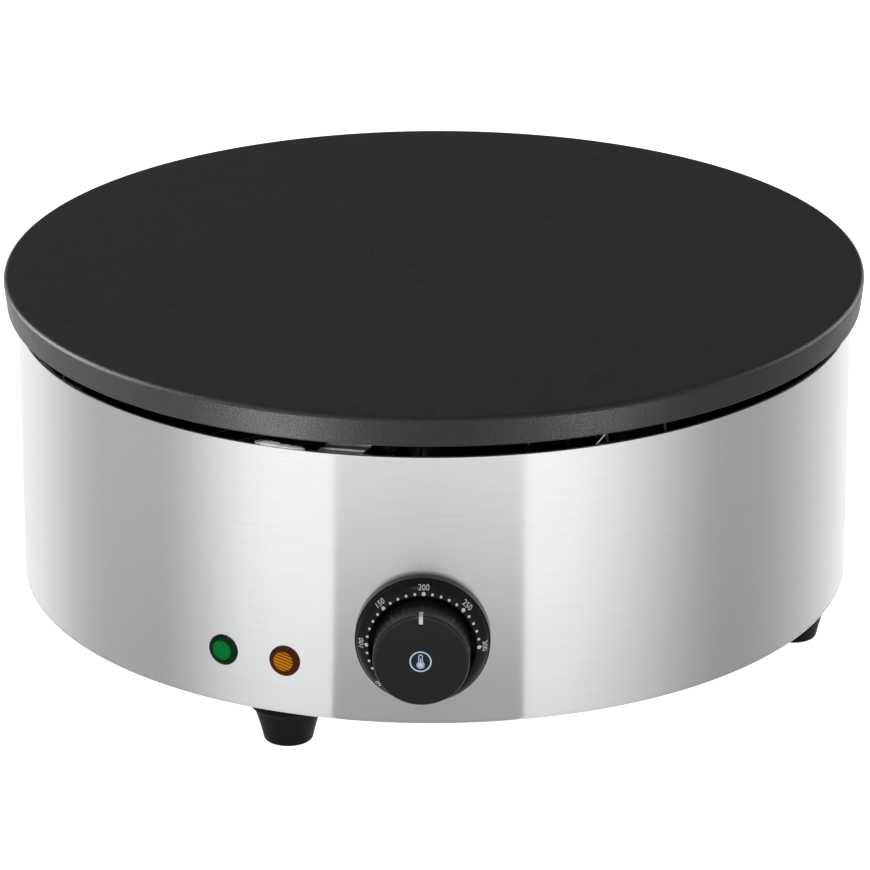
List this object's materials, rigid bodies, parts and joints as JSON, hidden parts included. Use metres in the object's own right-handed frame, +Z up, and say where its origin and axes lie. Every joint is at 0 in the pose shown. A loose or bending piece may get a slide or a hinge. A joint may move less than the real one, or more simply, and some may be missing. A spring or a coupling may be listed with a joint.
{
  "type": "electric crepe maker",
  "caption": "Countertop electric crepe griddle: a round cast-iron plate held over a brushed stainless drum with a turning thermostat knob, indicator lamps and rubber feet.",
  "frame": {"origin": "on the drum's axis at floor level, under the middle of the round plate", "axes": "+Z up, -Y towards the user and the control knob, +X to the user's right"},
  "size_m": [0.4, 0.441, 0.1685],
  "materials": {
    "plate": "sand-textured non-stick coat, satin",
    "stainless": "fine horizontal brushing",
    "galvanised": "zinc-coated sheet",
    "zinc_steel": "zinc-plated fasteners",
    "element_steel": "oxidised heater sheath",
    "black_moulding": "fine-grained black",
    "pale_inlay": "smooth",
    "green_lens": "translucent, pressed ribs",
    "amber_lens": "translucent, pressed ribs",
    "foot_rubber": "satin black",
    "ceramic": "glazed steatite",
    "mineral_wool": "needled blanket",
    "copper": "drawn copper",
    "brass": "bright brass",
    "glass_sleeve": "braided glass-fibre sleeve",
    "wire_insulation": "silicone",
    "gland_nylon": "moulded nylon",
    "gland_rubber": "soft",
    "thermostat_resin": "moulded phenolic"
  },
  "bodies": {
    "housing": {"cooking_plate": "plate", "housing_drum": "stainless", "dial_bezel": "black_moulding", "green_lamp_lens": "green_lens", "amber_lamp_lens": "amber_lens", "foot_front": "foot_rubber", "foot_right": "foot_rubber", "foot_rear": "foot_rubber", "foot_left": "foot_rubber", "plate_brackets": "galvanised", "plate_studs": "zinc_steel", "plate_washers": "zinc_steel", "plate_nuts": "zinc_steel", "earth_strap": "zinc_steel", "earth_strap_screw": "zinc_steel", "heating_element": "element_steel", "terminal_beads": "ceramic", "terminal_pins": "zinc_steel", "element_clamp": "galvanised", "clamp_studs": "zinc_steel", "clamp_nuts": "zinc_steel", "insulation_disc": "mineral_wool", "heat_shield": "galvanised", "shield_nuts": "zinc_steel", "thermostat_body": "thermostat_resin", "thermostat_frame": "galvanised", "thermostat_terminals": "brass", "thermostat_screws": "zinc_steel", "capillary_tube": "copper", "sensor_bulb": "copper", "bulb_clips": "galvanised", "clip_screws": "zinc_steel", "thermal_cutout": "thermostat_resin", "lamp_bodies": "thermostat_resin", "lamp_retainers": "galvanised", "base_plate": "galvanised", "base_screws": "zinc_steel", "foot_screws": "zinc_steel", "foot_washers": "zinc_steel", "foot_nuts": "zinc_steel", "gland_body": "gland_nylon", "gland_seal": "gland_rubber", "gland_cap_nut": "gland_nylon", "gland_lock_nut": "gland_nylon", "terminal_block": "thermostat_resin", "block_screws": "brass", "earth_stud": "brass", "earth_nuts": "brass", "element_leads": "glass_sleeve", "supply_leads": "wire_insulation", "lamp_leads": "wire_insulation"},
    "knob": {"control_knob": "black_moulding", "pointer_inlay": "pale_inlay", "thermostat_shaft": "zinc_steel"}
  },
  "joints": [
    {"name": "knob_turn", "type": "hinge", "parent": "housing", "child": "knob", "pos_m": [0, -0.2, 0.0632], "axis": [0, 1, 0], "range_deg": [-155, 90]}
  ]
}
